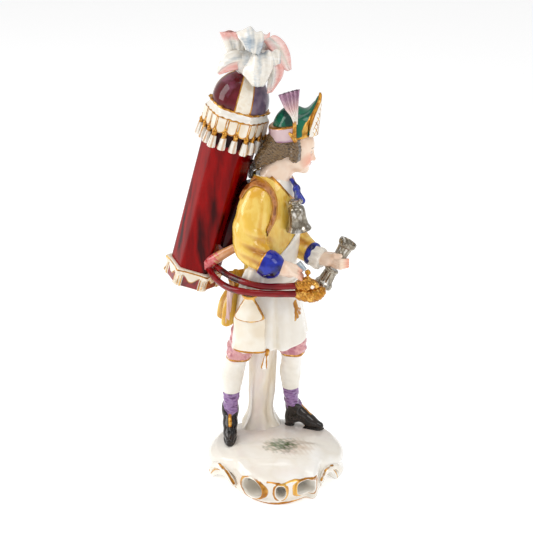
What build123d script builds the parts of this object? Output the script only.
"""A porcelain figurine of a street drink seller with a domed tank carried on the back.

Units are millimetres. The origin is the centre of the base on its underside, +Z is up and +X is
the way the figure looks. Every piece is a separately pressed or modelled piece of porcelain that
is luted to its neighbours with slip, so each one is trimmed to meet the pieces made before it
face to face. Nothing on the figurine moves.
"""

import os

from build123d import *

# ---------------------------------------------------------------- driving dimensions
HEIGHT = 165.0  # underside of the base to the tip of the plume
BASE_TOP = 12.8  # crown of the mound
BASE_RIM = 7.4  # height of the mound at its edge
GALLERY_HEIGHT = 9.0  # pierced scrollwork at the front of the base
MOUND_MIDDLE = (0, 4)

UP = Vector(0, 0, 1)
FACING = Vector(0.819, -0.574, 0)  # the way the chest faces
RIGHT = Vector(-0.574, -0.819, 0)  # towards the figure's own right hand

WAIST = 73.0
HEM = 52.0
NECK = 112.5

TANK_FOOT = Vector(-31.0, 18.5, 70.0)
TANK_LEAN = Vector(0.262, -0.08, 0.962).normalized()
TANK_RADIUS = 10.0  # over the corners of the hexagon
TANK_TAPER = 0.6  # how much slimmer the hexagon is at its foot
TANK_WALL = 2.4
BAND_HEIGHT = 7.0
CORNICE_LOW = 66.0  # distances up the tank's axis from here on
CORNICE_HIGH = 69.6
DOME_TOP = 82.0
TASSEL_LENGTH = 6.4

HOSE_RADIUS = 1.2
BEAKER_MOUTH = 3.05
BEAKER_LENGTH = 7.6
BELL_MOUTH = 3.7

finished = {}
outlines = {}  # the bounding box of each finished piece


# ---------------------------------------------------------------- shared construction
def boxes_meet(one, other):
    """True when two bounding boxes share any space."""
    apart = (
        one.min.X > other.max.X
        or other.min.X > one.max.X
        or one.min.Y > other.max.Y
        or other.min.Y > one.max.Y
        or one.min.Z > other.max.Z
        or other.min.Z > one.max.Z
    )
    return not apart


def finish(name, piece, single=True):
    """Trim a piece where it meets the ones already finished, and keep it under its name."""
    outline = piece.part.bounding_box()
    with BuildPart() as trimmed:
        add(piece.part)
        for other_name, other in finished.items():
            if boxes_meet(outline, outlines[other_name]):
                add(other.part, mode=Mode.SUBTRACT)
        if single:
            add(trimmed.part.solids().sort_by(SortBy.VOLUME)[-1], mode=Mode.REPLACE)
    finished[name] = trimmed
    outlines[name] = trimmed.part.bounding_box()


def lofted(rings, across=RIGHT):
    """A solid through level ellipses, each (centre, half width along across, half depth)."""
    with BuildPart() as piece:
        for centre, half_width, half_depth in rings:
            with BuildSketch(Plane(origin=centre, x_dir=across, z_dir=UP)):
                Ellipse(half_width, half_depth)
        loft()
    return piece


def limb(joints):
    """A round limb through (centre, radius) joints, each circle square to the limb there."""
    centres = [Vector(centre) for centre, _ in joints]
    with BuildPart() as piece:
        for index, (_, radius) in enumerate(joints):
            before = centres[max(index - 1, 0)]
            after = centres[min(index + 1, len(centres) - 1)]
            with BuildSketch(Plane(origin=centres[index], z_dir=after - before)):
                Circle(radius)
        loft()
    return piece


def turned(profile, foot, axis):
    """A solid turned about an axis, from (radius, height) corners that start and end on it."""
    across = Vector(0, 1, 0)
    with BuildPart() as piece:
        with BuildSketch(Plane(origin=foot, x_dir=axis.cross(across), z_dir=across)):
            with BuildLine():
                Polyline(*profile, close=True)
            make_face()
        revolve(axis=Axis(foot, axis))
    return piece


def tube(route, radius, bend):
    """A round tube along straight runs joined by arcs of one radius."""
    with BuildPart() as piece:
        with BuildLine() as line:
            FilletPolyline(*route, radius=bend)
        with BuildSketch(Plane(origin=line.line @ 0, z_dir=line.line % 0)):
            Circle(radius)
        sweep()
    return piece


def along_tank(distance):
    """The point on the tank's axis at a distance from its foot."""
    return TANK_FOOT + TANK_LEAN * distance


def tank_plane(distance):
    """The plane square to the tank's axis at a distance from its foot."""
    return Plane(origin=along_tank(distance), x_dir=(1, 0, 0), z_dir=TANK_LEAN)


# ---------------------------------------------------------------- base
with BuildPart() as base_mound:
    with BuildSketch():
        with BuildLine():
            Spline(
                (-22.5, -4.5), (-25.4, 3), (-24, 12), (-17, 20.5), (-6, 24.2), (6, 24.2),
                (16, 21), (23, 13), (25.4, 3), (22.6, -4.5), (16.5, -9.5), (8, -12.5),
                (-4, -13), (-14, -11), (-18.5, -8), periodic=True,
            )
        make_face()
    extrude(amount=BASE_TOP)
    with BuildSketch(Plane.XZ.offset(-MOUND_MIDDLE[1])):
        with BuildLine():
            Polyline((0, BASE_TOP), (0, 0), (30, 0), (30, BASE_RIM - 2.5))
            Spline((30, BASE_RIM - 2.5), (26, BASE_RIM), (22, 10.2), (15, 12.1), (0, BASE_TOP))
        make_face()
    revolve(axis=Axis((0, MOUND_MIDDLE[1], 0), (0, 0, 1)), mode=Mode.INTERSECT)
    # Arches that lift the edge off the table, one each side of the gallery.
    for place, outward, radius, drop in (
        ((-19.5, -6.5), (-0.62, -0.78, 0), 6.0, -3.6),
        ((19.2, -7.2), (0.62, -0.78, 0), 3.0, 0.6),
    ):
        with BuildSketch(Plane(origin=(*place, drop), z_dir=outward)):
            Circle(radius)
        extrude(amount=5.0, both=True, mode=Mode.SUBTRACT)
finish("base_mound", base_mound)

with BuildPart() as base_gallery:
    with BuildSketch():
        with BuildLine():
            Polyline((-12, -8), (-15.2, -10.4), (-13.2, -14.6), (-8.6, -19.4))
            Spline((-8.6, -19.4), (-4.6, -22.4), (0, -23.8), (5.4, -22.2), (10, -18.8))
            Polyline((10, -18.8), (15.8, -13.6), (16.2, -10.2), (12, -8), (-12, -8))
        make_face()
    extrude(amount=GALLERY_HEIGHT)
    # Three pierced windows: a wide oval, a small middle one and a square-cornered one.
    with BuildSketch(Plane(origin=(-8.0, -18.8, 4.6), x_dir=(0.72, -0.69, 0), z_dir=(-0.69, -0.72, 0))):
        Ellipse(5.0, 3.3)
    extrude(amount=4.5, both=True, mode=Mode.SUBTRACT)
    with BuildSketch(Plane(origin=(1.6, -22.4, 4.8), x_dir=(1, -0.1, 0), z_dir=(0, -1, 0))):
        Ellipse(1.9, 2.3)
    extrude(amount=4.0, both=True, mode=Mode.SUBTRACT)
    with BuildSketch(Plane(origin=(9.6, -18.2, 4.9), x_dir=(0.75, 0.66, 0), z_dir=(0.62, -0.78, 0))):
        RectangleRounded(7.2, 4.4, 1.2)
    extrude(amount=4.0, both=True, mode=Mode.SUBTRACT)
finish("base_gallery", base_gallery)

# Raised C-scrolls on the edge of the mound, either side of the gallery and at the back.
SCROLLS = (
    ((-23.6, -2.0, 4.0), (-21.8, -5.6, 6.4), (-18.8, -8.6, 6.0), (-15.8, -11.4, 2.6)),
    ((16.6, -10.8, 3.6), (18.4, -9.2, 6.6), (21.0, -6.6, 6.4), (23.6, -3.4, 3.4)),
    ((-7.5, 24.6, 3.2), (-3.0, 25.0, 6.6), (3.0, 25.0, 6.6), (7.5, 24.6, 3.2)),
)
with BuildPart() as base_scrolls:
    for scroll_route in SCROLLS:
        add(tube(scroll_route, radius=1.2, bend=1.4).part)
finish("base_scrolls", base_scrolls, single=False)

finish("tree_trunk", lofted((
    ((-6.0, 17.2, 10.0), 6.8, 6.0),
    ((-6.0, 17.0, 15.0), 5.6, 5.2),
    ((-5.6, 16.4, 28.0), 4.8, 4.6),
    ((-5.0, 14.5, 44.0), 4.9, 4.6),
    ((-4.4, 13.0, 57.0), 5.2, 5.0),
)))


# ---------------------------------------------------------------- shoes and legs
def shoe(heel, forward):
    """A heeled shoe from its heel point on the ground, pointing along forward."""
    forward = Vector(forward)
    side = forward.cross(UP)
    heel = Vector(heel)
    with BuildPart() as piece:
        for along, lift, half_width, half_height in (
            (-1.2, 7.0, 1.4, 5.6),
            (1.3, 6.6, 2.7, 6.2),
            (4.6, 5.2, 2.9, 4.8),
            (9.0, 2.7, 2.9, 2.7),
            (12.4, 1.6, 2.5, 1.5),
            (14.4, 1.0, 1.0, 0.7),
        ):
            centre = heel + forward * along + UP * lift
            with BuildSketch(Plane(origin=centre, x_dir=side, z_dir=forward)):
                Ellipse(half_width, half_height)
        loft()
        with Locations(heel + forward * 1.9 + UP * 0.2):
            Cylinder(1.5, 3.0)
    return piece


finish("right_shoe", shoe((-17.0, 12.6, 11.6), (0, -1, 0)))
finish("left_shoe", shoe((4.8, 16.0, 12.0), (0.98, -0.19, -0.06)))

LEGS = {
    "right": {
        "sock": ((-16.8, 9.2, 17.5, 2.6), (-16.7, 9.8, 23.5, 2.8), (-16.5, 9.9, 29.0, 3.2)),
        "stocking": ((-16.5, 9.9, 28.6, 3.2), (-15.8, 9.6, 35.5, 4.1), (-13.8, 6.6, 45.0, 4.2)),
        "breeches_leg": ((-13.8, 6.2, 43.6, 4.5), (-12.6, 6.4, 48.0, 5.2), (-9.6, 6.8, 57.0, 6.0)),
    },
    "left": {
        "sock": ((6.6, 15.2, 18.0, 2.6), (5.8, 14.2, 24.0, 2.8), (5.5, 13.8, 29.0, 3.1)),
        "stocking": ((5.5, 13.8, 28.6, 3.1), (5.4, 12.8, 36.0, 3.9), (5.9, 10.4, 45.0, 4.2)),
        "breeches_leg": ((6.0, 9.9, 44.2, 4.7), (6.0, 9.8, 48.5, 5.3), (3.4, 10.0, 57.0, 6.2)),
    },
}
for side_name, leg_pieces in LEGS.items():
    for leg_piece, rings in leg_pieces.items():
        round_rings = [((x, y, z), radius, radius) for x, y, z, radius in rings]
        finish(f"{side_name}_{leg_piece}", lofted(round_rings))

# ---------------------------------------------------------------- apron, coat and torso
SKIRT_SPLIT = Plane(origin=Vector(-3.0, 8.4, 0) - FACING * 8.0, z_dir=FACING)

with BuildPart() as apron:
    add(lofted((
        ((-2.2, 8.0, HEM), 14.6, 13.8),
        ((-2.4, 8.2, 62.0), 12.8, 12.2),
        ((-2.8, 8.6, WAIST), 10.6, 9.8),
    )).part)
    split(bisect_by=SKIRT_SPLIT, keep=Keep.TOP)
finish("apron", apron)

with BuildPart() as coat_skirt:
    add(lofted((
        ((-6.6, 11.2, 56.5), 13.0, 10.6),
        ((-6.2, 10.9, 66.0), 12.6, 11.2),
        ((-3.4, 9.0, WAIST + 2), 10.4, 9.2),
    )).part)
    split(bisect_by=SKIRT_SPLIT, keep=Keep.BOTTOM)
    # Bunched pleats stand up over the right hip, behind the elbow.
    add(lofted((
        ((-12.6, 2.4, 73.0), 3.4, 3.0),
        ((-13.4, 2.6, 80.0), 3.6, 3.2),
        ((-12.2, 3.0, 84.0), 2.8, 2.4),
    )).part)
finish("coat_skirt", coat_skirt)

finish("shirt_tail", lofted((
    ((-8.2, -1.6, 75.5), 3.4, 1.7),
    ((-7.4, -1.2, 81.0), 3.0, 1.6),
), across=Vector(1, 0, 0)))
finish("apron_string", lofted((
    ((-17.4, 4.4, 57.7), 1.2, 1.0),
    ((-15.6, 4.6, 73.5), 1.2, 1.2),
), across=Vector(1, 0, 0)))

finish("jacket_body", lofted((
    ((-3.0, 8.8, WAIST), 10.2, 9.2),
    ((-1.8, 8.6, 84.0), 9.6, 8.8),
    ((-1.4, 8.4, 96.0), 10.4, 8.6),
    ((-1.5, 8.6, 104.0), 10.4, 7.6),
    ((-1.2, 8.9, 109.5), 8.2, 6.4),
    ((-1.8, 9.0, NECK), 6.0, 5.2),
)))

# The apron's bib lies on the chest from the waist up between the edges of the open jacket.
with BuildPart() as apron_bib:
    add(lofted((
        ((-2.6, 8.4, WAIST), 9.4, 10.4),
        ((-1.2, 8.1, 84.0), 7.4, 9.9),
        ((-0.8, 7.9, 95.0), 4.0, 9.4),
    )).part)
    split(bisect_by=Plane(origin=Vector(-1.5, 8.4, 0) + FACING * 3.0, z_dir=FACING), keep=Keep.TOP)
finish("apron_bib", apron_bib)

# ---------------------------------------------------------------- head and neck
HEAD_MIDDLE = Vector(6.6, 9.0, 122.2)
HEAD_LEAN = Vector(0.2, 0, 0.98).normalized()
SKULL_RADIUS, SKULL_HALF_HEIGHT = 6.4, 8.2

with BuildPart() as head:
    add(limb(((Vector(-0.6, 8.9, 110.0), 4.6), (Vector(3.6, 9.0, 118.0), 3.9))).part)
    skull_plane = Plane(origin=HEAD_MIDDLE, x_dir=(0.98, 0, -0.2), z_dir=(0, -1, 0))
    with BuildSketch(skull_plane):
        Ellipse(SKULL_RADIUS, SKULL_HALF_HEIGHT)
        with Locations((-SKULL_RADIUS, 0)):
            Rectangle(2 * SKULL_RADIUS, 4 * SKULL_HALF_HEIGHT, mode=Mode.SUBTRACT)
    revolve(axis=Axis(HEAD_MIDDLE, HEAD_LEAN))
    # The nose stands a little proud of the face.
    with Locations(HEAD_MIDDLE + Vector(6.6, 0, -1.6)):
        Sphere(1.2)
finish("head", head)

finish("shirt_collar", lofted((
    ((0.6, 7.8, 106.5), 5.8, 7.2),
    ((-0.4, 8.8, 111.0), 5.8, 5.8),
    ((-0.2, 9.0, 113.6), 5.2, 5.2),
)))
finish("neckerchief", limb((((6.6, 4.8, 110.2), 1.2), ((8.6, 3.6, 105.4), 1.6))))

# ---------------------------------------------------------------- hat
HAT_MIDDLE = Vector(5.6, 8.6, 127.0)

HAT_FRONT = Plane(origin=(11.4, 8.6, 127.0), x_dir=(0, 1, 0), z_dir=(0.966, 0, -0.26))
PEAK_THICKNESS = 1.3
PLATE_THICKNESS = 0.7


def hat_shield(stand_off, thickness):
    """The leaning front of the hat, a shield with a rounded peak."""
    with BuildPart() as shield:
        with BuildSketch(HAT_FRONT.offset(stand_off)):
            with BuildLine():
                Line((-5.8, 0), (5.8, 0))
                Spline((5.8, 0), (4.8, 7.5), (0, 14.2), (-4.8, 7.5), (-5.8, 0))
            make_face()
        extrude(amount=thickness)
    return shield


with BuildPart() as hat_crown:
    add(lofted((
        (HAT_MIDDLE, 7.8, 7.6),
        (HAT_MIDDLE + UP * 4.0, 7.3, 7.0),
        (HAT_MIDDLE + UP * 8.2, 5.2, 5.0),
        (HAT_MIDDLE + UP * 10.9, 1.6, 1.6),
    ), across=Vector(1, 0, 0)).part)
    add(hat_shield(0.0, PEAK_THICKNESS).part)
finish("hat_crown", hat_crown)
finish("hat_front_plate", hat_shield(PEAK_THICKNESS, PLATE_THICKNESS))

with BuildPart() as hat_rear_flap:
    with BuildSketch(Plane(origin=(HAT_MIDDLE.X, HAT_MIDDLE.Y, 125.3), z_dir=UP)):
        Circle(9.1)
        Circle(6.4, mode=Mode.SUBTRACT)
        with Locations((12.2, 0)):
            Rectangle(20, 40, mode=Mode.SUBTRACT)
    extrude(amount=5.7)
finish("hat_rear_flap", hat_rear_flap)

finish("hat_cockade", lofted((
    ((6.4, -0.6, 126.2), 1.2, 0.9),
    ((5.9, -0.6, 130.0), 2.0, 1.3),
    ((5.7, 0.2, 134.6), 1.2, 1.2),
), across=Vector(1, 0, 0)))
finish("hat_feather", lofted((
    ((5.5, -0.4, 133.6), 0.8, 0.7),
    ((4.4, -0.8, 139.0), 2.2, 0.9),
    ((3.7, -1.2, 145.3), 4.0, 1.1),
), across=Vector(1, 0, 0.15)))

with BuildPart() as hair:
    with Locations((2.4, 9.0, 121.8)):
        Sphere(6.8)
    # Side curls over the ears and the queue at the nape.
    with Locations((4.4, 3.4, 118.2), (4.4, 14.6, 118.2)):
        Sphere(2.6)
    add(limb((((-2.0, 9.0, 118.6), 3.0), ((-5.6, 8.8, 116.4), 2.4), ((-8.8, 8.4, 114.0), 1.5))).part)
finish("hair", hair)
finish("queue_ribbon", limb((((-9.4, 5.6, 115.8), 0.9), ((-9.6, 8.4, 114.6), 1.3), ((-9.4, 11.2, 115.8), 0.9))))

# ---------------------------------------------------------------- arms
finish("right_sleeve", limb((
    ((-5.4, 2.6, 110.4), 1.6),
    ((-6.6, 1.4, 107.6), 4.2),
    ((-8.2, 0.2, 101.5), 5.4),
    ((-9.0, -1.0, 94.5), 5.7),
    ((-9.0, -2.4, 88.4), 5.3),
    ((-5.4, -4.2, 85.6), 4.2),
)))
finish("right_cuff", limb((((-6.0, -4.6, 86.0), 3.6), ((-3.6, -5.2, 85.0), 4.5), ((0.4, -6.0, 83.0), 3.6))))
finish("right_hand", limb((((-0.4, -5.8, 83.6), 2.2), ((3.6, -6.2, 82.8), 2.6), ((7.6, -6.4, 80.2), 1.6))))
finish("left_sleeve", limb((
    ((1.6, 13.8, 110.2), 1.6),
    ((2.4, 15.6, 106.8), 3.9),
    ((3.4, 16.9, 99.0), 4.8),
    ((4.6, 16.8, 91.0), 4.8),
    ((7.4, 14.4, 85.6), 4.5),
    ((10.8, 11.3, 83.2), 3.8),
)))
finish("left_cuff", limb((((10.8, 11.4, 83.4), 4.3), ((13.2, 9.2, 82.4), 4.3))))
finish("left_shirt_ruffle", limb((((12.8, 9.6, 82.6), 3.4), ((16.6, 7.2, 81.4), 2.8))))

# ---------------------------------------------------------------- beakers and bell
BEAKER_AXIS = Vector(0.48, 0, 0.877).normalized()
BEAKER_MIDDLE = Vector(20.9, 5.2, 80.6)
BEAKER_PROFILE = (
    (0, 0.6), (0, 0.0), (2.2, 0.0), (2.3, 0.5), (2.4, 5.2), (BEAKER_MOUTH, 6.2),
    (BEAKER_MOUTH, BEAKER_LENGTH), (2.5, BEAKER_LENGTH), (2.0, 5.2), (1.8, 1.0), (0, 1.0),
)
finish("upper_beaker", turned(BEAKER_PROFILE, BEAKER_MIDDLE + BEAKER_AXIS * 2.2, BEAKER_AXIS))
finish("lower_beaker", turned(BEAKER_PROFILE, BEAKER_MIDDLE - BEAKER_AXIS * 1.9, BEAKER_AXIS * -1))

finish("left_hand", limb((((15.8, 7.6, 81.6), 1.9), ((18.6, 6.2, 81.4), 2.6), ((22.0, 5.0, 81.6), 3.2), ((24.6, 4.4, 82.0), 1.6))))
finish("measure_cup", limb((((7.4, -4.6, 84.2), 1.3), ((9.6, -5.0, 81.8), 1.3))))

BELL_AXIS = Vector(0.12, 0.02, -0.99).normalized()
BELL_TOP = Vector(6.4, 1.0, 106.4)
finish("bell", turned((
    (0, 0), (1.9, 0.1), (2.2, 1.0), (1.4, 1.9), (2.4, 2.7), (2.7, 7.2), (BELL_MOUTH, 10.8),
    (BELL_MOUTH - 0.5, 11.2), (2.1, 8.8), (0, 8.8),
), BELL_TOP, BELL_AXIS))

# ---------------------------------------------------------------- tank
with BuildPart() as tank_body:
    for distance, radius in ((0, TANK_RADIUS - TANK_TAPER), (CORNICE_LOW, TANK_RADIUS)):
        with BuildSketch(tank_plane(distance)):
            RegularPolygon(radius, 6, rotation=-5)
    loft()
    for distance, radius in ((3.0, TANK_RADIUS - TANK_TAPER), (CORNICE_LOW, TANK_RADIUS)):
        with BuildSketch(tank_plane(distance)):
            RegularPolygon(radius - TANK_WALL, 6, rotation=-5)
    loft(mode=Mode.SUBTRACT)
finish("tank_body", tank_body)

with BuildPart() as tank_band:
    with BuildSketch(tank_plane(0)):
        RegularPolygon(TANK_RADIUS + 0.2, 6, rotation=-5)
        RegularPolygon(TANK_RADIUS - TANK_TAPER - 0.4, 6, rotation=-5, mode=Mode.SUBTRACT)
    extrude(amount=BAND_HEIGHT)
    with Locations(tank_plane(BAND_HEIGHT - 0.8)):
        with PolarLocations(TANK_RADIUS + 0.1, 6, start_angle=-5):
            Sphere(1.1)
finish("tank_band", tank_band)

with BuildPart() as tank_cornice:
    for distance, radius in ((CORNICE_LOW, 12.0), (CORNICE_LOW + 1.8, 11.2), (CORNICE_HIGH, 11.8)):
        with BuildSketch(tank_plane(distance)):
            RegularPolygon(radius, 6, rotation=-5)
    loft(ruled=True)
finish("tank_cornice", tank_cornice)

with BuildPart() as tank_valance:
    with BuildSketch(tank_plane(CORNICE_LOW - 5.2)):
        RegularPolygon(12.0, 6, rotation=-5)
        RegularPolygon(10.6, 6, rotation=-5, mode=Mode.SUBTRACT)
    extrude(amount=5.2)
finish("tank_valance", tank_valance)

with BuildPart() as tank_tassels:
    tassel_plane = tank_plane(CORNICE_LOW - 11.6)
    for face in range(6):
        middle = 25 + 60 * face
        with BuildSketch(tassel_plane.rotated((0, 0, middle))):
            with Locations(*[(10.0, (place - 1) * 3.9) for place in range(3)]):
                Circle(1.05)
        extrude(amount=TASSEL_LENGTH, taper=5)
finish("tank_tassels", tank_tassels, single=False)

with BuildPart() as tank_dome:
    with BuildSketch(Plane(origin=along_tank(CORNICE_HIGH), x_dir=(0.965, 0, -0.262), z_dir=(0, -1, 0))):
        with BuildLine():
            Line((0, 0), (10.0, 0))
            Spline((10.0, 0), (9.6, 5.0), (6.6, 10.0), (0, DOME_TOP - CORNICE_HIGH))
            Line((0, DOME_TOP - CORNICE_HIGH), (0, 0))
        make_face()
    revolve(axis=Axis(along_tank(CORNICE_HIGH), Vector(0.262, 0, 0.965)))
finish("tank_dome", tank_dome)

# A padded saddle fills the gap between the tank and the shoulder blades.
finish("tank_saddle", lofted((
    ((-14.6, 14.2, 93.0), 4.0, 2.8),
    ((-11.6, 13.6, 101.0), 4.4, 3.4),
    ((-8.8, 12.8, 107.5), 3.6, 2.8),
)))

# ---------------------------------------------------------------- plume on the dome
PLUME_FOOT = along_tank(DOME_TOP - 1.6)
FEATHERS = {
    "plume_middle": (((-8.8, 8.6, 154.0), 5.4), ((-8.0, 7.6, 160.4), 4.6), ((-8.0, 7.6, HEIGHT), 1.6)),
    "plume_left": (((-14.0, 10.4, 153.0), 4.2), ((-16.8, 10.4, 157.4), 4.0), ((-19.2, 10.4, 162.6), 1.4)),
    "plume_right": (((-5.0, 9.0, 153.4), 4.6), ((-0.4, 8.6, 155.4), 4.4), ((4.2, 8.4, 150.8), 1.8)),
    "plume_drooping": (((-7.4, 6.2, 151.0), 3.0), ((-3.2, 4.8, 149.0), 3.0), ((-2.8, 4.0, 143.2), 1.4)),
    "plume_rear": (((-8.6, 14.4, 154.0), 4.4), ((-8.2, 17.6, 156.6), 3.8), ((-7.8, 19.8, 152.6), 1.6)),
}
for feather_name, curl in FEATHERS.items():
    finish(feather_name, limb(((PLUME_FOOT, 2.6), *curl)))

# ---------------------------------------------------------------- straps, hoses and taps
finish("right_shoulder_strap", tube(
    ((-12.6, 5.4, 104.6), (-10.4, 4.6, 110.6), (-5.6, 2.6, 112.2), (-1.2, 1.0, 108.4),
     (0.2, 0.2, 101.0), (-2.0, -0.6, 94.6)), radius=1.1, bend=2.0))
finish("left_shoulder_strap", tube(
    ((-5.2, 15.6, 106.4), (-1.0, 16.4, 111.2), (3.4, 14.2, 110.8), (7.2, 11.6, 106.0),
     (8.4, 11.8, 98.0)), radius=1.1, bend=2.0))
finish("waist_strap", tube(
    ((-25.4, 12.0, 77.4), (-21.0, 8.6, 82.0), (-14.2, 6.6, 86.6)), radius=1.5, bend=5.0))

LOWER_HOSE = (
    (-24.6, 10.6, 77.6), (-21.4, 3.0, 75.7), (-15.6, -4.6, 74.8), (-8.0, -8.4, 74.8),
    (0.6, -8.6, 74.5), (8.4, -7.0, 73.9),
)
UPPER_HOSE = (
    (-23.0, 11.4, 79.0), (-19.0, 4.6, 77.9), (-12.8, -2.6, 77.2), (-5.1, -7.2, 76.8),
    (1.8, -8.0, 77.0), (8.4, -6.8, 76.9),
)
finish("lower_hose", tube(LOWER_HOSE, HOSE_RADIUS, bend=5.0))
finish("upper_hose", tube(UPPER_HOSE, HOSE_RADIUS, bend=5.0))
finish("lower_tap", limb((((7.8, -7.1, 73.9), 1.6), ((11.6, -6.6, 73.4), 2.3), ((15.6, -6.0, 74.4), 1.5))))
with BuildPart() as upper_tap:
    add(limb((((7.8, -6.9, 76.9), 1.6), ((10.6, -6.8, 77.6), 2.2), ((13.6, -6.6, 77.0), 1.2))).part)
    # The key that turns the tap ends in a round knob.
    with Locations((10.8, -6.8, 80.2)):
        Cylinder(0.6, 2.6)
    with Locations((10.8, -6.8, 81.8)):
        Sphere(1.1)
finish("upper_tap", upper_tap)

# ---------------------------------------------------------------- flask on the hip
with BuildPart() as pouch:
    add(lofted((
        ((-9.3, -5.2, 51.2), 6.6, 2.8),
        ((-9.3, -5.3, 54.0), 5.9, 2.6),
        ((-9.5, -5.3, 64.6), 5.9, 2.6),
        ((-9.4, -6.0, 72.0), 2.0, 1.7),
        ((-9.4, -6.8, 73.6), 2.5, 1.9),
    ), across=Vector(1, -0.2, 0)).part)
    # The flap hangs over the front, a triangle with a rounded lower edge.
    with BuildSketch(Plane(origin=(-9.45, -8.6, 63.4), x_dir=(1, -0.2, 0), z_dir=(-0.19, -0.98, 0))):
        with BuildLine():
            Polyline((-6.3, 1.0), (-1.7, 9.4), (1.7, 9.4), (6.3, 1.0))
            ThreePointArc((6.3, 1.0), (0, -0.4), (-6.3, 1.0))
        make_face()
    extrude(amount=-3.4)
finish("pouch", pouch)
finish("pouch_tassel", limb((((-3.2, -6.6, 52.0), 0.8), ((-4.8, -7.0, 46.6), 1.1))))

# ---------------------------------------------------------------- export
os.makedirs("parts", exist_ok=True)
for name, piece in finished.items():
    piece.part.label = name
    export_step(piece.part, f"parts/{name}.step")
print(len(finished), "nodes")
